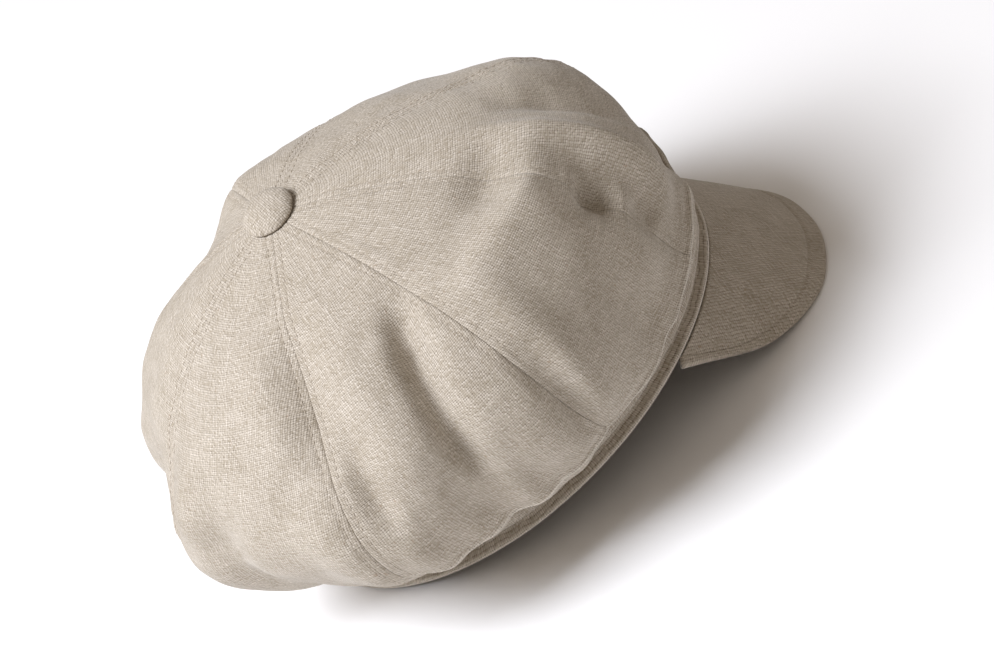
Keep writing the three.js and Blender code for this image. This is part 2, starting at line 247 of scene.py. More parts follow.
def smooth_crown(along, bearing):
    """Crown before lobes and folds: (-r sin b, shift - r cos b, height)."""
    out = reach(along, bearing)
    x, y = -out * np.sin(bearing), shift(along) - out * np.cos(bearing)
    return np.stack([x, y, height(along, bearing)], -1)


def crown_outward(along, bearing):
    """Unit vector square to the smooth crown: the cross product of two short steps. At the
    button the crown has no such direction, so the place is held a little way from it."""
    step = 0.004
    place = np.maximum(along, 0.02)
    down = smooth_crown(np.minimum(place + step, 1), bearing) - smooth_crown(place - step, bearing)
    turn = smooth_crown(place, bearing + step) - smooth_crown(place, bearing - step)
    return unit(np.cross(turn, down))


widest = sum(float(reach(0.78, side * np.pi / 2)) for side in (1, -1))
print(f"the smooth crown is {widest:.0f} mm wide at its fullest ring")

# %% [markdown]
# ## Folds of the loose cloth
# A worn linen crown keeps its folds. Each one could be sculpted by hand, but a row of a table
# says the same in a tailor's terms: where it starts and ends, how far it bows, how wide it is
# on either side, and how deep. Valleys are positive and ridges negative.

# %% Main folds
FOLDS = table("from_out from_bearing to_out to_bearing bow width_left width_right depth", [
    (56, 80, 180, 102, 1, 8, 6, 10),
    (70, 82, 104, 95, 2, 6, 6, 2.5),
    (50, 101, 178, 108, 2, 7, 9, -2),
    (130, 118, 200, 120, 0, 12, 12, -5),
    (120, 104, 215, 106, 0, 16, 14, 7),
    (130, 94, 195, 96, 0, 10, 10, 3),
    (75, 62, 195, 92, -8, 10, 24, -5.5),
    (108, 75, 182, 83, 0, 8, 8, 3.5),
    (100, 68, 190, 79, 0, 11, 9, -5),
    (107, 33, 94, 80, -3, 18, 9, -6),
    (82, 26, 84, 58, 0, 9, 9, 3),
    (112, 43, 140, 41, 0, 9, 9, 8),
    (140, 40, 168, 39, 0, 8, 8, 3),
    (120, 59, 205, 59, 0, 20, 18, 5),
    (50, 29, 185, 30, 0, 5, 13, -5),
    (88, 35, 165, 35, 0, 8, 9, 4),
    (70, 18, 170, 19, 0, 9, 6, 5),
    (90, 13, 170, 14, 0, 11, 11, 2.5),
    (40, 116, 122, 122, 0, 8, 9, 5),
    (35, 132, 115, 132, 0, 12, 12, -3),
    (85, 114, 165, 119, 0, 6, 6, 3.5),
    (108, 128, 202, 128, 0, 17, 17, -8),
    (100, 153, 200, 155, 0, 14, 14, 6),
    (80, 161, 150, 161, 0, 12, 12, -3),
    (80, 174, 155, 174, 0, 16, 16, 3),
    (85, 192, 225, 184, 0, 18, 18, 17),
    (112, 190, 172, 184, 0, 14, 14, 5),
    (120, 198, 182, 195, 0, 10, 9, 4),
    (135, 166, 225, 164, 0, 30, 20, -4.5),
    (150, 148, 226, 150, 0, 16, 14, 3),
    (150, 106, 232, 106, 0, 24, 24, 2.5),
    (190, 12, 190, 72, -25.5, 4, 9, -2),
    (190, 45, 190, 115, -34.5, 4, 9, -2),
    (78, 0, 166, -2, 0, 18, 18, -6),
    (148, 16, 232, 10, 0, 30, 30, 6),
    (60, 340, 125, 340, 0, 14, 14, 2.5),
    (40, 290, 100, 290, 0, 25, 25, -2),
    (20, 272, 90, 272, 0, 15, 15, -4),
    (15, 240, 90, 238, 0, 14, 14, 5),
    (45, 212, 120, 206, 0, 14, 14, -4),
])
FOLD_END_SHARE = 0.4
FOLDS_END_BEFORE_BAND = 0.06


def spread(along, bearing):
    """Place on the cloth spread out flat, in millimetres from the button."""
    return GORE_LENGTH * along * np.sin(bearing), GORE_LENGTH * along * np.cos(bearing)


def fold_depth(along, bearing):
    """Sum over the folds of depth x ends x bell: a fold is a straight run on the spread-out
    cloth, bowed as a parabola, and across it the depth falls off as a bell curve."""
    x, y = spread(along, bearing)
    depth = np.zeros(np.broadcast(along, bearing).shape)
    for out1, turn1, out2, turn2, bow, left, right, deep in zip(*FOLDS.values()):
        x1, y1 = out1 * np.sin(np.radians(turn1)), out1 * np.cos(np.radians(turn1))
        run_x, run_y = out2 * np.sin(np.radians(turn2)) - x1, out2 * np.cos(np.radians(turn2)) - y1
        length = np.hypot(run_x, run_y)
        share = ((x - x1) * run_x + (y - y1) * run_y) / length**2
        across = ((x - x1) * run_y - (y - y1) * run_x) / length - bow * 4 * share * (1 - share)
        ends = smooth(share / FOLD_END_SHARE) * smooth((1 - share) / FOLD_END_SHARE)
        depth += deep * ends * bell(across, np.where(across > 0, right, left))
    return depth * smooth((1 - along) / FOLDS_END_BEFORE_BAND)


print(len(FOLDS["depth"]), "folds, the deepest of", FOLDS["depth"].max(), "mm")


# %% [markdown]
# ## Small creases
# Between the main folds, linen is never quite smooth. Broad soft waves lie everywhere, fine
# creases run out from the button, and the cloth is gathered in small pleats near the band. Where
# the crown turns under towards the band it is pressed to a thin fold, with small pockets and
# swells beside it. Each random field is shifted by its own round number, so that no two agree.

# %% Creases and gathers
SOFT_WAVE, SOFT_WAVE_SIZE = 0.7, 26.0
CRUMPLE, CRUMPLE_SIZE = 0.22, 9.0
GATHER, GATHER_SIZE = 0.8, 8.0
GATHERS_BEGIN, GATHERS_RISE, GATHERS_FALL = 0.80, 0.13, 0.04
RAY, RAY_SIZE, RAY_RADIUS = 0.16, 5.0, 60.0
RAYS_BEGIN, RAYS_RISE, RAYS_END, RAYS_FALL = 0.06, 0.08, 0.55, 0.25
RIM_FOLD = table("bearing along", [
    (-180, 0.92), (15, 0.925), (37, 0.912), (50, 0.922), (62, 0.928), (72, 0.914), (83, 0.910),
    (93, 0.898), (104, 0.903), (114, 0.885), (122, 0.85), (131, 0.80), (180, 0.92), (360, 0.92),
])
RIM_FOLD_HEIGHT, RIM_FOLD_WIDTH = 0.6, 0.9
RIM_FOLD_STARTS, RIM_FOLD_ENDS, RIM_FOLD_FADES = 18, 132, 14
TROUGH_DEPTH, TROUGH_INSIDE, TROUGH_WIDTH = 0.6, 2.8, 1.8
POCKETS = table("bearing along degrees width depth", [
    (98, 0.948, 5, 3.0, 3.0), (108, 0.940, 5, 3.2, 3.2), (118, 0.915, 5, 4.0, 3.0),
    (106, 0.900, 7, 10.0, -5.5), (80, 0.930, 15, 9.0, 2.4), (2, 0.952, 14, 8.0, 2.0),
    (10, 0.938, 5.5, 5.5, -2.0),
])


def beyond_rim_fold(along, bearing):
    """Distance beyond the pressed fold, in millimetres."""
    return GORE_LENGTH * (along - np.interp(np.degrees(bearing), RIM_FOLD["bearing"], RIM_FOLD["along"]))


def rim_fold_share(bearing):
    """How sharply the fold is pressed: 1 along the wearer's right side, and 0 elsewhere."""
    turn = np.degrees(bearing)
    return smooth((turn - RIM_FOLD_STARTS) / RIM_FOLD_FADES) * smooth((RIM_FOLD_ENDS - turn) / RIM_FOLD_FADES)


def rim_fold(along, bearing):
    """The pressed fold, a thin bead with a shallow trough inside it, less the pockets: each is
    a bell curve both ways, and a negative one is a swell."""
    beyond = beyond_rim_fold(along, bearing)
    trough = TROUGH_DEPTH * bell(beyond + TROUGH_INSIDE, TROUGH_WIDTH)
    height = RIM_FOLD_HEIGHT * (bell(beyond, RIM_FOLD_WIDTH) - trough) * rim_fold_share(bearing)
    for middle, place, degrees, width, depth in zip(*POCKETS.values()):
        turn = (np.degrees(bearing) - middle + 180) % 360 - 180
        height = height - depth * bell(turn, degrees) * bell(GORE_LENGTH * (along - place), width)
    return height


def small_creases(along, bearing):
    """Soft waves plus crumples, plus rays round the button and gathers towards the band. Pleats
    and rays are drawn out along the gore, by making the field's second place run slower."""
    x, y = spread(along, bearing)
    waves = SOFT_WAVE * random_waves(x + 400, y + 400, SOFT_WAVE_SIZE, 3)
    crumple = CRUMPLE * random_waves(x + 500, y + 500, CRUMPLE_SIZE, 5)
    pleats = random_waves(MEAN_BAND_RADIUS * bearing + 900, GORE_LENGTH * along / 5, GATHER_SIZE, 8)
    gathers = GATHER * smooth((along - GATHERS_BEGIN) / GATHERS_RISE)
    gathers = gathers * smooth((1 - along) / GATHERS_FALL) * pleats
    rays = RAY * random_waves(RAY_RADIUS * bearing + 700, GORE_LENGTH * along / 9, RAY_SIZE, 12)
    rays = rays * smooth((along - RAYS_BEGIN) / RAYS_RISE) * smooth((RAYS_END - along) / RAYS_FALL)
    level = (waves + crumple) * smooth(along / 0.1) * smooth((1 - along) / 0.05)
    return level + rays + gathers + rim_fold(along, bearing)


print(len(POCKETS["depth"]), "pockets and swells beside the pressed fold")


# %% [markdown]
# ## Seams
# The gores are sewn edge to edge, and the seam allowances are pressed open and stitched down
# on both sides. So a seam is a narrow groove between two rows of stitches, on a strip of
# cloth that is a little thicker than the rest. The stitches draw it into small puckers.

# %% Relief beside a seam
SEAM_GROOVE, SEAM_GROOVE_WIDTH = 0.24, 0.42
ROW_DIMPLE, ROW_DIMPLE_WIDTH = 0.2, 0.55
ALLOWANCE_RISE, ALLOWANCE_WIDTH, ALLOWANCE_EDGE = 0.12, 7.0, 2.5
PUCKER, PUCKER_SIZE, PUCKER_RISE, PUCKER_REACH = 0.3, 5.5, 1.5, 9.0
ALLOWANCES_BEGIN = 0.12


def seam_relief(distance, along, seam):
    """Height beside a seam at a distance in millimetres: a groove, two stitch rows, the
    thicker allowance, and puckers that fade away from the stitches."""
    groove = -SEAM_GROOVE * bell(distance, SEAM_GROOVE_WIDTH)
    rows = -ROW_DIMPLE * bell(distance - STITCH_ROW_FROM_SEAM, ROW_DIMPLE_WIDTH)
    allowance = ALLOWANCE_RISE * smooth((ALLOWANCE_WIDTH - distance) / ALLOWANCE_EDGE)
    drawn = random_waves(GORE_LENGTH * along + 300 * seam, distance / 3, PUCKER_SIZE, 21)
    puckers = PUCKER * drawn * smooth(distance / PUCKER_RISE) * bell(distance, PUCKER_REACH)
    return groove + rows + (allowance + puckers) * smooth(along / ALLOWANCES_BEGIN)


middle_of_seam = seam_relief(np.array(0.0), np.array(0.5), 0)
print(f"half way along a seam its groove is {-middle_of_seam:.2f} mm deep")


# %% [markdown]
# ## One gore
# A gore is a grid. One way it runs from seam to seam, with its columns crowded towards the
# seams where the relief is fine, and the other way from button to band, with its rows crowded
# at the rim where the cloth turns under. The outer face carries all the relief. The inner face
# is the same grid, one cloth thickness further in.

# %% The surface of a gore
ROWS_ALONG, COLUMNS_ACROSS = 210, 80
RIM_CROWDING, RIM_PLACE, RIM_SPREAD = 2, 0.91, 0.03
SEAM_CROWDING = 0.75
SEAM_CLEARANCE = 0.04
LOBE_SQUARENESS = 2.2
SEAM_DRAWN_IN = 0.6


def seam_bearing(index, along):
    """Bearing of a seam in radians; the eighth seam is the first one again."""
    whole = 360 * (index // 8)
    start, end = GORES["at_button"][index % 8] + whole, GORES["at_band"][index % 8] + whole
    return np.radians(start + (end - start) * along)


def gore_point(index, across, along, below=0.0):
    """Point of a gore: smooth crown + outward x (lobe + seams - folds + creases - below)."""
    first, second = seam_bearing(index, along), seam_bearing(index + 1, along)
    bearing = first + (second - first) * across
    width = np.linalg.norm(smooth_crown(along, second) - smooth_crown(along, first), axis=-1)
    lobe = 1 - np.abs(2 * across - 1) ** LOBE_SQUARENESS
    out = puff(along) * (GORES["fullness"][index] * lobe - SEAM_DRAWN_IN)
    near_first = seam_relief(across * width, along, index)
    near_second = seam_relief((1 - across) * width, along, (index + 1) % 8)
    out = out + near_first * (across <= 0.5) + near_second * (across > 0.5)
    out = out - fold_depth(along, bearing) + small_creases(along, bearing) - below
    return smooth_crown(along, bearing) + crown_outward(along, bearing) * out[..., None], width


print("a gore has", (ROWS_ALONG + 1) * (COLUMNS_ACROSS + 1), "points on each of its two faces")


# %% [markdown]
# ## From grids to meshes
# A closed cloth shell is two grids, an outer and an inner one, with a narrow wall round the
# border. It also carries the place of each point on the cut cloth, so that the weave follows
# the thread, and a painted highlight: folded edges are painted lighter where they catch the light.

# %% Closed shells
# Width in millimetres of the painted highlight along folded edges, which stands in for light caught there.
HIGHLIGHT_WIDTH = 0.8


def grid_faces(rows, columns, start, flip, closed):
    """Quads of a grid of points that is stored row by row; a closed grid joins its two sides."""
    i, j = np.meshgrid(np.arange(rows - 1), np.arange(columns if closed else columns - 1), indexing="ij")
    here, below, following = i * columns, (i + 1) * columns, (j + 1) % columns
    quads = np.stack([here + j, below + j, below + following, here + following], -1).reshape(-1, 4) + start
    return quads[:, ::-1] if flip else quads


def border_faces(rows, columns, closed):
    """Quads that join the border of the outer grid to the border of the inner one."""
    place = np.arange(rows * columns).reshape(rows, columns)
    loops = [place[0], place[-1][::-1]] if closed else [
        np.concatenate([place[0, :], place[1:, -1], place[-1, -2::-1], place[-2:0:-1, 0]])
    ]
    quads = []
    for loop in loops:
        following = np.roll(loop, -1)
        quads.append(np.stack([loop, following, following + rows * columns, loop + rows * columns], -1))
    return np.concatenate(quads)


def mesh_object(name, points, faces, cloth=None, edge_highlight=None):
    """A mesh object from an array of points and lists of faces. Cloth gives each point's place
    on the cut cloth in metres; the last argument is a painted highlight, 1 on a folded edge painted lighter
    as if it caught the light and 0 elsewhere."""
    mesh = bpy.data.meshes.new(name)
    mesh.from_pydata(points.tolist(), [], faces)
    if cloth is not None:
        corners = np.empty(len(mesh.loops), dtype=np.int32)
        mesh.loops.foreach_get("vertex_index", corners)
        layer = mesh.uv_layers.new(name="cloth")
        layer.data.foreach_set("uv", cloth[corners].astype(np.float32).ravel())
        edge_highlight = np.zeros(len(points)) if edge_highlight is None else edge_highlight
        painted_highlight = mesh.attributes.new("edge_highlight", "FLOAT", "POINT")
        painted_highlight.data.foreach_set("value", edge_highlight.astype(np.float32))
    mesh.polygons.foreach_set("use_smooth", np.ones(len(mesh.polygons), dtype=bool))
    mesh.update()
    piece = bpy.data.objects.new(name, mesh)
    bpy.context.scene.collection.objects.link(piece)
    return piece


def signed_volume(points, faces):
    """Volume inside a closed mesh: a sum of tetrahedra from the origin; it is negative when
    the faces look inwards."""
    a, b, c, d = (points[faces[:, k]] for k in range(4))
    return float((np.cross(a, b) * c).sum() + (np.cross(a, c) * d).sum()) / 6


def shell(name, outer, inner, cloth, edge_highlight, closed=False):
    """Closed shell between two grids of points in metres; only its outer face carries the painted highlight.
    """
    rows, columns = outer.shape[:2]
    points = np.concatenate([outer.reshape(-1, 3), inner.reshape(-1, 3)])
    faces = np.concatenate([
        grid_faces(rows, columns, 0, False, closed),
        grid_faces(rows, columns, rows * columns, True, closed),
        border_faces(rows, columns, closed),
    ])
    if signed_volume(points, faces) < 0:
        faces = faces[:, ::-1]
    both = np.concatenate([cloth.reshape(-1, 2)] * 2)
    painted_highlight = np.concatenate([(edge_highlight + 0 * outer[..., 0]).ravel(), np.zeros(rows * columns)])
    return mesh_object(name, points, faces.tolist(), both, painted_highlight)


print("a shell of 3 by 3 points has", 2 * len(grid_faces(3, 3, 0, False, False)), "faces and",
      len(border_faces(3, 3, False)), "more at its border")


# %% [markdown]
# ## The eight gores
# All eight gores are cut in the same way, so one function makes them, each between its own two
# seams. A point's place on the cut cloth is its distance from the gore's middle line and from
# the button. A coarse mesh with a subdivision would round the seams off, so the grid is fine
# from the start.

# %% Make the eight gores
def make_gore(index):
    """Shell of one gore, and its widest place in millimetres."""
    share = np.linspace(CROWN_HOLE_RADIUS / GORE_LENGTH, 1, 2000)
    rows_before = np.cumsum(1 + RIM_CROWDING * bell(share - RIM_PLACE, RIM_SPREAD))
    even = np.linspace(rows_before[0], rows_before[-1], ROWS_ALONG + 1)
    along = np.interp(even, rows_before, share)[:, None]
    t = np.linspace(0, 1, COLUMNS_ACROSS + 1)
    across = (t - SEAM_CROWDING * np.sin(2 * np.pi * t) / (2 * np.pi))[None, :]
    _, width = gore_point(index, 0.5 + 0 * along, along)
    margin = SEAM_CLEARANCE / width
    across = margin + (1 - 2 * margin) * across
    along = along + 0 * across
    outer, width = gore_point(index, across, along)
    inner, _ = gore_point(index, across, along, CLOTH_WALL)
    cloth = np.stack([(across - 0.5) * width, GORE_LENGTH * along], -1) / 1000
    bearing = (1 - across) * seam_bearing(index, along) + across * seam_bearing(index + 1, along)
    # Painted highlight along the pressed fold of the rim, standing in for the light that its edge catches.
    edge_highlight = bell(beyond_rim_fold(along, bearing), HIGHLIGHT_WIDTH) * rim_fold_share(bearing)
    piece = shell(f"{GORES['name'][index]}_cloth", at_rest(outer), at_rest(inner), cloth, edge_highlight)
    return piece, float(width.max())


gores = []
for index, node in enumerate(GORES["name"]):
    gore, widest_place = make_gore(index)
    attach(gore, "root")
    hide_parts(str(node))
    gores.append(gore)
    print(f"{gore.name}: {len(gore.data.polygons)} faces, {widest_place:.0f} mm wide")

# %% [markdown]
# ## The covered button
# A button is a dome of metal with a round of linen gathered under its rim. It is a turned
# shape, so a profile carried round an axis makes it. Its rim shows small gathers, and it sits
# a little tilted on the top of the crown, where the eight seams meet.

# %% Button
BUTTON_SECTION = table("out up", [
    (0.0, 5.0), (2.2, 4.9), (4.4, 4.6), (6.4, 4.1), (8.2, 3.4), (9.6, 2.5),
    (10.5, 1.5), (10.8, 0.7), (10.4, 0.0), (9.2, -0.6), (6.0, -1.0), (0.0, -1.1),
])
BUTTON_TILT = np.radians(7.0)
BUTTON_LIFT = 0.6
RIM_GATHER, RIM_GATHER_SIZE, RIM_GATHERS_BEGIN, RIM_GATHERS_RISE = 0.16, 2.2, 7.0, 3.0
RIM_GATHER_CIRCLE = 14
DOME_WAVE, DOME_WAVE_SIZE = 0.10, 4.0


def make_button(node="crown_button", rows=56, columns=96):
    """Turned profile: (r cos a, r sin a, height), with gathers that grow near the rim. The two
    ends of the profile are single points, so the form is closed at its poles."""
    share = np.linspace(0, 1, len(BUTTON_SECTION["out"]))
    profile = [spline(share, BUTTON_SECTION[name])(np.linspace(0, 1, rows)) for name in ("out", "up")]
    turn = np.linspace(0, 2 * np.pi, columns, endpoint=False)[None, :]
    out, up = np.maximum(profile[0], 0)[1:-1, None], profile[1][1:-1, None]
    round_rim = RIM_GATHER_CIRCLE * np.cos(turn) + 40, RIM_GATHER_CIRCLE * np.sin(turn) + 40
    gathers = RIM_GATHER * smooth((out - RIM_GATHERS_BEGIN) / RIM_GATHERS_RISE)
    gathers = gathers * random_waves(*round_rim, RIM_GATHER_SIZE, 9)
    waves = DOME_WAVE * random_waves(out * np.cos(turn) + 60, out * np.sin(turn) + 60, DOME_WAVE_SIZE, 10)
    radius = out * (1 + gathers / BUTTON_RADIUS)
    dome = np.stack([radius * np.cos(turn), radius * np.sin(turn), up + waves + gathers * 0.5], -1)
    ends = np.array([[0, 0, profile[1][0]], [0, 0, profile[1][-1]]])
    points = np.concatenate([dome.reshape(-1, 3), ends])
    cloth = points[:, :2] / 1000
    tilt_z = points[:, 2] * np.cos(BUTTON_TILT) + points[:, 0] * np.sin(BUTTON_TILT)
    tilt_x = points[:, 0] * np.cos(BUTTON_TILT) - points[:, 2] * np.sin(BUTTON_TILT)
    seat = smooth_crown(np.array(0.0), np.array(0.0))
    points = np.stack([tilt_x, points[:, 1], tilt_z], -1) + seat + (0, 0, BUTTON_LIFT)
    body = grid_faces(rows - 2, columns, 0, False, True).tolist()
    j = np.arange(columns)
    top, bottom = len(points) - 2, len(points) - 1
    last = (rows - 3) * columns
    caps = np.stack([0 * j + top, j, (j + 1) % columns], -1).tolist()
    caps += np.stack([0 * j + bottom, last + (j + 1) % columns, last + j], -1).tolist()
    return mesh_object(f"{node}_cloth", at_rest(points), body + caps, cloth)


button = make_button()
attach(button, "root")
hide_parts("crown_button")
print("button:", len(button.data.polygons), "faces")

# %% [markdown]
# ## The band
# The band is one upright strip of folded linen, joined at the centre back. A stitched groove
# runs round it near its lower edge, and the narrow strip under the groove rolls inwards. A
# section from edge to edge is carried round the band's oval.

# %% Band
BAND_SECTION = table("height inset", [
    (0.0, 1.9), (0.4, 1.0), (1.2, 0.5), (2.1, 0.8), (3.0, 2.4), (3.9, 4.0), (4.9, 4.4),
    (6.0, 3.8), (7.0, 2.0), (8.0, 0.7), (9.2, 0.1), (11.5, 0.0), (16.0, 0.05), (24.0, 0.2),
    (BAND_HEIGHT, BAND_TOP_INSET),
])
BAND_GROOVE_HEIGHT = 4.8
BAND_WAVE, BAND_WAVE_SIZE = 0.55, 17.0
BAND_PUCKER, BAND_PUCKER_SIZE, BAND_PUCKER_REACH = 0.28, 3.2, 4.5
BAND_EDGE_HEIGHT = 1.3
BAND_CALM_LOW, BAND_CALM_HIGH = 3, 6
BAND_FINE_ROWS, BAND_FINE_TO = 30, 10.0
BAND_PLAIN_ROWS, BAND_PLAIN_FROM = 20, 10.9
BAND_JOIN = 0.0003
band_inset = spline(BAND_SECTION["height"], BAND_SECTION["inset"])


def band_point(bearing, height, below=0.0):
    """Point of the band: an oval pulled in by the section's inset, less soft waves and the
    puckers of its stitching, which both calm down towards the two edges."""
    round_band = MEAN_BAND_RADIUS * bearing + 500
    waves = BAND_WAVE * random_waves(round_band, height * 1.2, BAND_WAVE_SIZE, 31)
    near_groove = bell(height - BAND_GROOVE_HEIGHT, BAND_PUCKER_REACH)
    puckers = BAND_PUCKER * random_waves(round_band, height / 5, BAND_PUCKER_SIZE, 32) * near_groove
    edge = smooth(height / BAND_CALM_LOW) * smooth((BAND_HEIGHT - height) / BAND_CALM_HIGH)
    return oval(bearing, band_inset(height) - waves * edge - puckers * edge + below, height)


def make_band(columns=520):
    """Shell of the band from the centre back all the way round to it again. Its rows lie
    closer together over the rolled edge and the groove than above them."""
    fine = np.linspace(0, BAND_FINE_TO, BAND_FINE_ROWS)
    plain = np.linspace(BAND_PLAIN_FROM, BAND_HEIGHT, BAND_PLAIN_ROWS)
    height = np.concatenate([fine, plain])[:, None]
    bearing = np.linspace(-np.pi + BAND_JOIN, np.pi - BAND_JOIN, columns)[None, :]
    height, bearing = height + 0 * bearing, bearing + 0 * height
    outer, inner = band_point(bearing, height), band_point(bearing, height, BAND_WALL)
    walk = np.linalg.norm(np.diff(outer[BAND_FINE_ROWS], axis=0), axis=-1).cumsum()
    walk = np.concatenate([[0], walk])[None, :] + 0 * height
    cloth = np.stack([height, walk], -1) / 1000
    # Painted highlight along the band's lower edge, standing in for the light that it catches.
    edge_highlight = bell(height - BAND_EDGE_HEIGHT, HIGHLIGHT_WIDTH)
    return shell("band_cloth", at_rest(outer), at_rest(inner), cloth, edge_highlight, True), float(walk.max())


band, band_round = make_band()
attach(band, "root")
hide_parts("band")
print(f"band: {len(band.data.polygons)} faces, {band_round:.0f} mm round")

# %% [markdown]
# ## The peak
# The peak is a stiff board between two layers of linen, turned over at its outer edge and
# topstitched once, about 8 mm inside it. Its middle surface is drawn by straight lines from
# the band's oval to a smooth outer edge, and arched a little. The faces lie half a thickness
# to either side, and the outer edge is rounded. The table runs from the peak's left corner to
# its right one; onto is how far the edge drops towards the floor, as a share of the full way.

# %% Peak
PEAK_EDGE = table("place forward side onto", [
    (-1.00, 52, -68, 0.10), (-0.85, 83, -56.5, 0.86), (-0.70, 101.5, -47, 0.985),
    (-0.50, 115.5, -34, 1.0), (-0.25, 126, -18, 1.0), (0.00, 130, 1, 1.0),
    (0.25, 128.5, 20, 1.0), (0.50, 121, 38, 1.0), (0.70, 108.5, 52, 0.99),
    (0.85, 89.5, 62, 0.90), (0.93, 75, 66.5, 0.66), (1.00, 54, 69.5, 0.10),
])
PEAK_ROOT_DEPTH = 1.6
PEAK_EDGE_LIFT = 0.9
PEAK_STITCH_FROM_EDGE = 8.5
# The last of these is the width of the painted highlight along the peak's outer edge.
PEAK_ROUNDING, PEAK_ROUNDING_BEGINS, PEAK_HIGHLIGHT_WIDTH = 1.7, 0.06, 1.0
PEAK_WAVE, PEAK_WAVE_SIZE = 0.22, 22.0
PEAK_CRUMPLE, PEAK_CRUMPLE_SIZE = 0.06, 5.0
PEAK_FULLNESS, PEAK_FULLNESS_RISE, PEAK_RELIEF_RISE = 0.18, 2, 1.5
PEAK_GROOVE, PEAK_GROOVE_WIDTH = 0.38, 0.7
PEAK_ROW_CROWDING, PEAK_CORNER_CROWDING = 1.8, 1.2
ARCH_DIRECTION = np.array([0, -0.8, 0.6])
edge_forward, edge_side, edge_onto = (
    spline(PEAK_EDGE["place"], PEAK_EDGE[name]) for name in ("forward", "side", "onto")
)


def peak_ends(place):
    """Root and edge of the peak at a place: the root lies on the band's oval, and the edge on
    the slope of the resting surface."""
    turn = np.radians(PEAK_TURN)
    bearing = np.radians(PEAK_ROOT_BEARING * place) + turn
    root = oval(bearing, BAND_WALL / 2 + BAND_FOOT_INSET, -PEAK_ROOT_DEPTH)
    x, y = -edge_side(place), -edge_forward(place)
    x, y = x * np.cos(turn) + y * np.sin(turn), y * np.cos(turn) - x * np.sin(turn)
    drop = REST_SLOPE * (BAND_HALF_LENGTH - BAND_FOOT_INSET - y) - PEAK_EDGE_LIFT
    return root, np.stack([x, y, -edge_onto(place) * drop], -1)


def peak_middle(place, out):
    """Middle surface: root + out x (edge - root), arched by sin(pi out) x (1 - place squared)."""
    root, edge = peak_ends(place)
    arch = PEAK_ARCH * np.sin(np.pi * out) * (1 - place**2)
    return root + (edge - root) * out[..., None] + arch[..., None] * ARCH_DIRECTION


def peak_point(place, out, side=1.0):
    """Face of the peak: middle + side x normal x half the thickness. The thickness rounds off
    at the edge as a quarter circle, dips at the stitch row, and is fuller between the two."""
    step = 0.01
    across = peak_middle(np.minimum(place + step, 1), out) - peak_middle(np.maximum(place - step, -1), out)
    outwards = peak_middle(place, np.minimum(out + step, 1)) - peak_middle(place, np.maximum(out - step, 0))
    normal = np.cross(outwards, across)
    normal *= side / np.linalg.norm(normal, axis=-1, keepdims=True)
    root, edge = peak_ends(place)
    inside = (1 - out) * np.linalg.norm(edge - root, axis=-1)
    round_off = np.sqrt(1 - (1 - np.clip(inside / PEAK_ROUNDING, PEAK_ROUNDING_BEGINS, 1)) ** 2)
    relief = PEAK_FULLNESS * smooth(inside / PEAK_FULLNESS_RISE)
    relief = relief * smooth((PEAK_STITCH_FROM_EDGE - inside) / PEAK_FULLNESS_RISE)
    relief -= PEAK_GROOVE * bell(inside - PEAK_STITCH_FROM_EDGE, PEAK_GROOVE_WIDTH)
    middle = peak_middle(place, out)
    x, y = middle[..., 0] + 700 * side, middle[..., 1] + 700
    relief += PEAK_WAVE * random_waves(x, y, PEAK_WAVE_SIZE, 41)
    relief += PEAK_CRUMPLE * random_waves(x, y, PEAK_CRUMPLE_SIZE, 42)
    half = PEAK_THICKNESS / 2 * round_off + relief * smooth(inside / PEAK_RELIEF_RISE)
    return middle + normal * half[..., None]


def make_peak(rows=74, columns=190):
    """Shell of the peak; its linen is cut with the thread running straight forward. Rows crowd
    towards the outer edge, and columns towards the two corners."""
    out = (1 - (1 - np.linspace(0, 1, rows)) ** PEAK_ROW_CROWDING)[:, None]
    place = np.sin(np.linspace(-1, 1, columns) * PEAK_CORNER_CROWDING)[None, :] / np.sin(PEAK_CORNER_CROWDING)
    out, place = out + 0 * place, place + 0 * out
    top, bottom = peak_point(place, out), peak_point(place, out, -1.0)
    root, edge = peak_ends(place)
    forward = -root[..., 1] + out * np.linalg.norm(edge - root, axis=-1)
    cloth = np.stack([peak_middle(place, out)[..., 0], forward], -1) / 1000
    # Painted highlight along the peak's outer edge, standing in for the light that it catches.
    edge_highlight = bell((1 - out) * np.linalg.norm(edge - root, axis=-1), PEAK_HIGHLIGHT_WIDTH)
    return shell("peak_cloth", at_rest(top), at_rest(bottom), cloth, edge_highlight)


peak = make_peak()
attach(peak, "root")
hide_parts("peak")
print("peak:", len(peak.data.polygons), "faces")

# %% [markdown]
# ## Stitches
# Every stitch is a short piece of linen thread that comes out of the cloth, lies on it and
# dives in again. There are well over a thousand, so each has only a few dozen faces. One form
# is copied with arrays to even places along each row, and turned to follow the cloth. A row
# runs on either side of every seam, one in the groove of the band, and one on both faces of
# the peak.

# %% The form of a stitch, and rows of it
STITCH_HEIGHT, STITCH_ARC, STITCH_END_DEPTH = 0.16, 0.34, 0.25
STITCH_ROUND_PART = 0.86
STITCH_LEAN = 0.06
STITCH_LOOK_AHEAD = 0.8


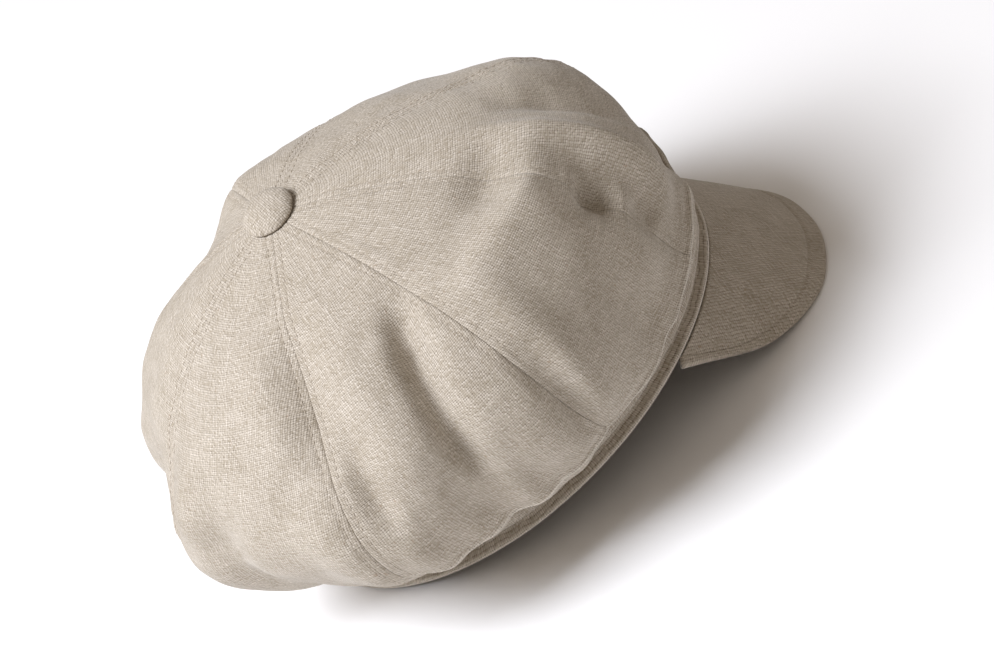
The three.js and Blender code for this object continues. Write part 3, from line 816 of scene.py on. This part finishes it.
def stitch_form(rings=5, sides=6):
    """Points and faces of one stitch: a thin arc that is thickest in the middle, in
    millimetres, as (along the row, aside, above the cloth)."""
    share = np.linspace(-STITCH_ROUND_PART, STITCH_ROUND_PART, rings)[:, None]
    turn = np.linspace(0, 2 * np.pi, sides, endpoint=False)[None, :]
    thick = STITCH_THREAD_RADIUS * np.sqrt(1 - share**4)
    above = STITCH_HEIGHT - STITCH_ARC * share**2
    reach = STITCH_LENGTH / 2
    ring = np.stack([share * reach + 0 * turn, thick * np.cos(turn), above + thick * np.sin(turn)], -1)
    ends = np.array([[-reach, 0, -STITCH_END_DEPTH], [reach, 0, -STITCH_END_DEPTH]])
    j = np.arange(sides)
    following = (j + 1) % sides
    near_end, last = rings * sides, (rings - 1) * sides
    near_cap = np.stack([0 * j + near_end, following, j], -1)
    far_cap = np.stack([0 * j + near_end + 1, last + j, last + following], -1)
    points = np.concatenate([ring.reshape(-1, 3), ends])
    return points, grid_faces(rings, sides, 0, True, True), np.concatenate([near_cap, far_cap])


def row_on(surface, u, v, step):
    """Points of a row and the direction square to the cloth there: the cross product of two
    short steps."""
    over = surface(u + step[0], v) - surface(u - step[0], v)
    onward = surface(u, v + step[1]) - surface(u, v - step[1])
    return surface(u, v), unit(np.cross(over, onward))


def evenly(points, outward):
    """Stitch places along a row: the middle, the direction along the row and outwards."""
    length = np.concatenate([[0], np.linalg.norm(np.diff(points, axis=0), axis=-1).cumsum()])
    middle = np.arange(STITCH_PITCH / 2, length[-1] - STITCH_PITCH / 2, STITCH_PITCH)

    def at(values, where):
        return np.stack([np.interp(where, length, values[:, k]) for k in range(3)], -1)

    onward = at(points, middle + STITCH_LOOK_AHEAD) - at(points, middle - STITCH_LOOK_AHEAD)
    return at(points, middle), unit(onward), at(outward, middle)


def sew(name, rows):
    """One object with a stitch at each place of each row, each a little out of line."""
    form, quads, triangles = stitch_form()
    middle, onward, outward = (np.concatenate(part) for part in zip(*rows))
    count = len(middle)
    lean = np.random.default_rng(7).normal(0, STITCH_LEAN, (count, 1))
    aside = np.cross(outward, onward)
    onward = onward + aside * lean
    aside = np.cross(outward, onward)
    points = middle[:, None] + form[:, :1] * onward[:, None]
    points = points + form[:, 1:2] * aside[:, None] + form[:, 2:] * outward[:, None]
    shifts = (np.arange(count) * len(form))[:, None, None]
    faces = (quads + shifts).reshape(-1, 4).tolist() + (triangles + shifts).reshape(-1, 3).tolist()
    piece = mesh_object(name, at_rest(points.reshape(-1, 3)), faces)
    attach(piece, "root")
    print(f"{name}: {count} stitches")
    return piece


print("one stitch has", sum(len(part) for part in stitch_form()[1:]), "faces")

# %% [markdown]
# ## Where the rows run
# Each seam has a row in both of the gores that meet there. The band's row lies at the bottom of
# its groove, and the peak's two rows keep an even distance from its outer edge, one on the upper
# face and one on the lower.

# %% Sew the seams, the band and the peak
GORE_ROW_FROM, GORE_ROW_TO = 0.065, 0.975
PEAK_ROW_REACH, PEAK_ROW_LEAST_OUT = 0.93, 0.05


def gore_row(index, from_second):
    """Row beside one seam of a gore, from under the button's rim to near the band. Its outward
    direction is on the side that the smooth crown faces."""
    along = np.linspace(GORE_ROW_FROM, GORE_ROW_TO, 500)
    _, width = gore_point(index, 0.5 + 0 * along, along)
    across = STITCH_ROW_FROM_SEAM / width
    across = 1 - across if from_second else across
    first, second = seam_bearing(index, along), seam_bearing(index + 1, along)
    points, outward = row_on(lambda u, v: gore_point(index, u, v)[0], across, along, (0.01, 0.002))
    facing = (outward * crown_outward(along, first + (second - first) * across)).sum(-1, keepdims=True)
    return evenly(points, outward * np.sign(facing))


seam_stitches = sew("seam_stitches", [gore_row(k, side) for k in range(8) for side in (False, True)])

turns = np.linspace(-np.pi, np.pi, 2000)
groove = BAND_GROOVE_HEIGHT + 0 * turns
points, outward = row_on(band_point, turns, groove, (0.002, 0.2))
facing = np.sign((outward * points * (1, 1, 0)).sum(-1, keepdims=True))
band_stitches = sew("band_stitches", [evenly(points, outward * facing)])

places = np.linspace(-PEAK_ROW_REACH, PEAK_ROW_REACH, 900)
root, edge = peak_ends(places)
outs = 1 - PEAK_STITCH_FROM_EDGE / np.linalg.norm(edge - root, axis=-1)
on_peak = outs > PEAK_ROW_LEAST_OUT
places, outs = places[on_peak], outs[on_peak]
peak_rows = []
for side in (1.0, -1.0):
    points, outward = row_on(lambda u, v: peak_point(u, v, side), places, outs, (0.004, 0.004))
    facing = np.sign(outward[:, 2:] * side)
    peak_rows.append(evenly(points, outward * facing))
peak_stitches = sew("peak_stitches", peak_rows)

# %% [markdown]
# ## Colours and nodes
# A material is a small graph. Colours are written as sRGB values, as a screen shows them, but the
# renderer reckons in linear light, so one function turns them. Another adds a node with its
# values and links, so that each step of a pattern stays short.

# %% Colours and nodes
def linear(colour):
    """sRGB hex colour to linear: c/12.92 below 0.04045, else ((c + 0.055)/1.055)^2.4."""
    parts = np.array([int(colour[k:k + 2], 16) for k in (1, 3, 5)]) / 255
    return (*np.where(parts < 0.04045, parts / 12.92, ((parts + 0.055) / 1.055) ** 2.4).tolist(), 1.0)


def add(tree, kind, inputs=None, **settings):
    """Add a node and return it: settings are its properties, inputs its values or the nodes
    and sockets that feed it. A node given as an input feeds in its first output."""
    node = tree.nodes.new(kind)
    for name, value in settings.items():
        setattr(node, name, value)
    for key, value in (inputs or {}).items():
        if isinstance(value, bpy.types.Node):
            value = value.outputs[0]
        if isinstance(value, bpy.types.NodeSocket):
            tree.links.new(value, node.inputs[key])
        else:
            node.inputs[key].default_value = value
    return node


def blank_material(name):
    """A new material, and its node tree, which is empty."""
    material = bpy.data.materials.new(name)
    material.use_nodes = True
    material.node_tree.nodes.clear()
    return material, material.node_tree


MATH, VECTOR, MIX, NOISE = "ShaderNodeMath", "ShaderNodeVectorMath", "ShaderNodeMix", "ShaderNodeTexNoise"
print("the middle grey #808080 is", round(linear("#808080")[0], 2), "in linear light")

# %% [markdown]
# ## Linen
# Natural linen is spun from flax without bleaching: a greige plain weave with about eleven
# threads in a centimetre. Its threads are uneven. Thick places, called slubs, run along them
# as light and dark streaks, and a few brown flecks of straw remain. It is matt. A finer weave
# would not show at this distance, so this one is as coarse as it needs to be. It is worked out
# from the place on the cut cloth, and follows the thread of every gore.

# %% Woven linen
# Lengths are in metres, as in the map of the cut cloth. The cells of a noise are 1/scale
# metres wide: 7 and 1.4 mm for the wander, 1.2 by 3.6 mm for straw, 17 mm for a cloud.
THREAD_SPACING, THREAD_HEIGHT = 0.00088, 0.0003
SLUB_LENGTH = 0.012
WANDERS = ((150.0, 0.0011), (700.0, 0.00028))
STRAW_SCALES = (850.0, 280.0, 0.0)
CLOUD_SCALE = 60.0

# sRGB colours, and how strongly each pattern tells in the tone
LINEN_LIGHT, LINEN_DARK, LINEN_GAP, LINEN_FLECK = "#d9d0c4", "#a39887", "#62574a", "#8d6c4c"
# The next colour and its share paint a highlight along folded edges, where they would catch the light.
LINEN_HIGHLIGHT, HIGHLIGHT_SHARE = "#efe9df", 0.45
STREAK_SHARE, SPUN_SHARE, CLOUD_SHARE = 0.62, 0.19, 0.26
TONE_FROM, TONE_TO = 0.36, 0.76
STRAW_FROM, STRAW_TO, STRAW_SHARE = 0.69, 0.78, 0.4
LEAST_GAP, MORE_GAP, THREAD_COVER = 0.25, 0.9, 1.5


def woven_linen():
    """Plain weave: sin(pi u) x sin(pi v) is positive where a lengthwise thread lies on top
    and negative where a crosswise one does, and its size is the roundness of the thread."""
    material, tree = blank_material("woven_linen")
    flat = add(tree, "ShaderNodeUVMap", uv_map="cloth")

    # The threads wander a little, so that the weave is nowhere quite regular.
    place = flat
    for scale, distance in WANDERS:
        noise = add(tree, NOISE, {"Vector": flat, "Scale": scale, "Detail": 2.0}).outputs["Color"]
        centred = add(tree, VECTOR, {0: noise, 1: (0.5, 0.5, 0.5)}, operation="SUBTRACT")
        wander = add(tree, VECTOR, {0: centred, "Scale": distance}, operation="SCALE")
        place = add(tree, VECTOR, {0: place, 1: wander}, operation="ADD")

    threads = add(tree, VECTOR, {0: place, "Scale": 1 / THREAD_SPACING}, operation="SCALE")
    count = add(tree, "ShaderNodeSeparateXYZ", {0: threads})
    turns = [add(tree, MATH, {0: count.outputs[k], 1: np.pi}, operation="MULTIPLY") for k in (0, 1)]
    waves = [add(tree, MATH, {0: turn}, operation="SINE") for turn in turns]
    over = add(tree, MATH, {0: waves[0], 1: waves[1]}, operation="MULTIPLY")
    size = add(tree, MATH, {0: over}, operation="ABSOLUTE")
    roundness = add(tree, MATH, {0: size, 1: 0.5}, operation="POWER")
    lengthwise_on_top = add(tree, MATH, {0: over, 1: 0.0}, operation="GREATER_THAN")

    # Slubs are streaks along a thread: noise that is drawn out in one direction.
    streaks = []
    across, onward = 1 / THREAD_SPACING, 1 / SLUB_LENGTH
    for stretch in ((across, onward, 0), (onward, across, 0)):
        drawn = add(tree, VECTOR, {0: place, 1: stretch}, operation="MULTIPLY")
        streaks.append(add(tree, NOISE, {"Vector": drawn, "Scale": 1.0, "Detail": 3.0, "Roughness": 0.65}))
    streak = add(tree, MIX, {"Factor": lengthwise_on_top, "A": streaks[1], "B": streaks[0]})

    # Each place where a thread comes up is spun a little lighter or darker than the next.
    cell = add(tree, VECTOR, {0: threads}, operation="FLOOR")
    spun = add(tree, "ShaderNodeTexWhiteNoise", {"Vector": cell}, noise_dimensions="3D")
    cloudy = add(tree, NOISE, {"Vector": flat, "Scale": CLOUD_SCALE, "Detail": 4.0, "Roughness": 0.6})
    tone = add(tree, MATH, {0: streak, 1: STREAK_SHARE}, operation="MULTIPLY")
    tone = add(tree, MATH, {0: spun, 1: SPUN_SHARE, 2: tone}, operation="MULTIPLY_ADD")
    tone = add(tree, MATH, {0: cloudy, 1: CLOUD_SHARE, 2: tone}, operation="MULTIPLY_ADD")
    shade = add(tree, "ShaderNodeMapRange", {"Value": tone, "From Min": TONE_FROM, "From Max": TONE_TO})
    yarn = add(tree, MIX, {"Factor": shade, "A": linear(LINEN_DARK), "B": linear(LINEN_LIGHT)},
               data_type="RGBA").outputs["Result"]

    # Flecks of straw are the highest places of a short noise.
    laid = add(tree, VECTOR, {0: place, 1: STRAW_SCALES}, operation="MULTIPLY")
    straw = add(tree, NOISE, {"Vector": laid, "Scale": 1.0, "Detail": 1.0})
    fleck = add(tree, "ShaderNodeMapRange", {
        "Value": straw, "From Min": STRAW_FROM, "From Max": STRAW_TO, "To Max": STRAW_SHARE,
    })
    yarn = add(tree, MIX, {"Factor": fleck, "A": yarn, "B": linear(LINEN_FLECK)},
               data_type="RGBA").outputs["Result"]

    # Painted highlight: folded edges are painted lighter, as if they caught the light.
    painted_highlight = add(tree, "ShaderNodeAttribute", attribute_name="edge_highlight").outputs["Fac"]
    painted_highlight = add(tree, MATH, {0: painted_highlight, 1: HIGHLIGHT_SHARE}, operation="MULTIPLY")
    yarn = add(tree, MIX, {"Factor": painted_highlight, "A": yarn, "B": linear(LINEN_HIGHLIGHT)},
               data_type="RGBA").outputs["Result"]

    # Dark shows through the small open places between the threads, in some more than in others.
    closed = add(tree, MATH, {0: roundness, 1: THREAD_COVER}, operation="MULTIPLY", use_clamp=True)
    open_place = add(tree, MATH, {0: 1.0, 1: closed}, operation="SUBTRACT")
    moved = add(tree, VECTOR, {0: threads, 1: (0.5, 0.5, 0.0)}, operation="ADD")
    corner = add(tree, VECTOR, {0: moved}, operation="FLOOR")
    gap = add(tree, "ShaderNodeTexWhiteNoise", {"Vector": corner}, noise_dimensions="3D")
    gap = add(tree, MATH, {0: gap, 1: MORE_GAP, 2: LEAST_GAP}, operation="MULTIPLY_ADD")
    see_through = add(tree, MATH, {0: open_place, 1: gap}, operation="MULTIPLY", use_clamp=True)
    colour = add(tree, MIX, {"Factor": see_through, "A": yarn, "B": linear(LINEN_GAP)},
                 data_type="RGBA").outputs["Result"]
    uneven = add(tree, MATH, {0: streak, 1: 0.4}, operation="ADD")
    relief = add(tree, MATH, {0: roundness, 1: uneven}, operation="MULTIPLY")
    bump = add(tree, "ShaderNodeBump", {"Height": relief, "Strength": 0.5, "Distance": THREAD_HEIGHT})
    shader = add(tree, "ShaderNodeBsdfPrincipled", {
        "Base Color": colour, "Roughness": 0.92, "IOR": 1.5, "Specular IOR Level": 0.25,
        "Sheen Weight": 0.25, "Sheen Roughness": 0.35, "Normal": bump,
    })
    add(tree, "ShaderNodeOutputMaterial", {"Surface": shader})
    return material


linen = woven_linen()
print(linen.name, "has", len(linen.node_tree.nodes), "nodes")

# %% [markdown]
# ## Sewing thread
# The seams are sewn with linen thread of two twisted strands. It is matt and a little darker than
# the cloth. Its strands are too fine to show, so a noise with cells of about a millimetre
# stands in for them, coarser than they are. It reads the piece's own coordinates.

# %% Sewing thread
THREAD_DARK, THREAD_LIGHT = "#9c9181", "#c6bbad"
STRAND_SCALE = 900.0
STRAND_HEIGHT = 0.0001


def linen_thread():
    """Thread: its colour and relief both follow one noise."""
    material, tree = blank_material("linen_thread")
    place = add(tree, "ShaderNodeTexCoord").outputs["Object"]
    fibre = add(tree, NOISE, {"Vector": place, "Scale": STRAND_SCALE, "Detail": 2.0})
    colour = add(tree, MIX, {"Factor": fibre, "A": linear(THREAD_DARK), "B": linear(THREAD_LIGHT)},
                 data_type="RGBA").outputs["Result"]
    bump = add(tree, "ShaderNodeBump", {"Height": fibre, "Strength": 0.3, "Distance": STRAND_HEIGHT})
    shader = add(tree, "ShaderNodeBsdfPrincipled", {
        "Base Color": colour, "Roughness": 0.8, "IOR": 1.5, "Specular IOR Level": 0.3,
        "Normal": bump,
    })
    add(tree, "ShaderNodeOutputMaterial", {"Surface": shader})
    return material


thread = linen_thread()
print(thread.name, "has", len(thread.node_tree.nodes), "nodes")

# %% [markdown]
# ## Cloth and thread on their pieces
# The cloth pieces take the woven linen, and the stitches take the linen sewing thread.

# %% Put the materials on
cloths, stitches = gores + [button, band, peak], [seam_stitches, band_stitches, peak_stitches]
for piece in cloths + stitches:
    piece.data.materials.append(linen if piece in cloths else thread)
print(linen.name, "on", len(cloths), "pieces and", thread.name, "on", len(stitches))

# %% [markdown]
# ## The floor
# The cap lies on a plain pale floor, which takes its soft shadow. One square is enough, as it
# is so large that its borders lie far outside the picture.

# %% Floor
FLOOR_HALF = 6
corners = [(x * FLOOR_HALF, y * FLOOR_HALF, 0) for x, y in ((-1, -1), (1, -1), (1, 1), (-1, 1))]
floor_mesh = bpy.data.meshes.new("floor")
floor_mesh.from_pydata(corners, [], [(0, 1, 2, 3)])
floor = bpy.data.objects.new("floor", floor_mesh)
bpy.context.scene.collection.objects.link(floor)
pale = bpy.data.materials.new("pale_floor")
pale.use_nodes = True
paint = pale.node_tree.nodes["Principled BSDF"].inputs
paint["Base Color"].default_value = linear("#fbfbfc")
paint["Roughness"].default_value = 0.9
floor_mesh.materials.append(pale)
print("floor:", 2 * FLOOR_HALF, "m square")

# %% [markdown]
# ## The camera
# The camera looks at the wearer's right side from above, rolled over, so that the peak points
# to the right of the picture. Its lens follows from its distance and from the pixels that a
# millimetre takes, and a small shift puts the band's middle in its place.

# %% Camera
VIEW_BEARING, VIEW_RISE, VIEW_ROLL = np.radians([268.0, 37.6, -45.9])
VIEW_DISTANCE = 1.4
SENSOR_WIDTH = 36.0
PIXELS_PER_MM = 2.55
PICTURE_WIDTH, PICTURE_HEIGHT = 994, 662
ORIGIN_PIXEL = 502.7, 375.4

towards = np.array([
    np.sin(VIEW_BEARING) * np.cos(VIEW_RISE), -np.cos(VIEW_BEARING) * np.cos(VIEW_RISE), np.sin(VIEW_RISE),
])
level = np.array([np.cos(VIEW_BEARING), np.sin(VIEW_BEARING), 0.0])
upright = np.cross(towards, level)
right = np.cos(VIEW_ROLL) * level + np.sin(VIEW_ROLL) * upright
up = np.cos(VIEW_ROLL) * upright - np.sin(VIEW_ROLL) * level
right, up, towards = (lean_back(axis) for axis in (right, up, towards))

lens = bpy.data.cameras.new("camera")
lens.sensor_width = SENSOR_WIDTH
lens.lens = SENSOR_WIDTH * PIXELS_PER_MM * 1000 * VIEW_DISTANCE / PICTURE_WIDTH
lens.shift_x = (PICTURE_WIDTH / 2 - ORIGIN_PIXEL[0]) / PICTURE_WIDTH
lens.shift_y = (ORIGIN_PIXEL[1] - PICTURE_HEIGHT / 2) / PICTURE_WIDTH
camera = bpy.data.objects.new("camera", lens)
bpy.context.scene.collection.objects.link(camera)
stand = TO_REST / 1000 + towards * VIEW_DISTANCE
pose = np.eye(4)
pose[:3, :] = np.stack([right, up, towards, stand], -1)
camera.matrix_world = Matrix(pose.tolist())
bpy.context.scene.camera = camera
bpy.context.scene.view_settings.view_transform = "Standard"
print(f"camera {stand[2]:.2f} m above the floor, lens {lens.lens:.0f} mm")

# %% [markdown]
# ## The light
# A large soft window stands above and behind the cap. Its light grazes the folds, so that their
# hollows show, and pale warm light from all round keeps the shaded side readable.

# %% Light
CAP_MIDDLE = (0.0, 0.0, 0.07)


def soft_light(name, direction, distance, size, power, colour):
    """Square area light that looks at the cap from a direction; metres and watts."""
    light = bpy.data.lights.new(name, "AREA")
    light.size, light.energy, light.color = size, power, linear(colour)[:3]
    lamp = bpy.data.objects.new(name, light)
    bpy.context.scene.collection.objects.link(lamp)
    direction = np.array(direction) / np.linalg.norm(direction)
    lamp.location = CAP_MIDDLE + direction * distance
    lamp.rotation_mode = "QUATERNION"
    lamp.rotation_quaternion = Vector(direction).to_track_quat("Z", "Y")
    return lamp


window = soft_light("window", (-0.04, 0.61, 0.80), distance=1.6, size=0.8, power=36.0, colour="#f5f8ff")
world = bpy.data.worlds.new("studio")
bpy.context.scene.world = world
world.use_nodes = True
sky = world.node_tree.nodes["Background"].inputs
sky["Color"].default_value = linear("#fff1e2")
sky["Strength"].default_value = 0.32
print(f"window light of {window.data.energy:.0f} W, {window.location.z:.2f} m above the floor")
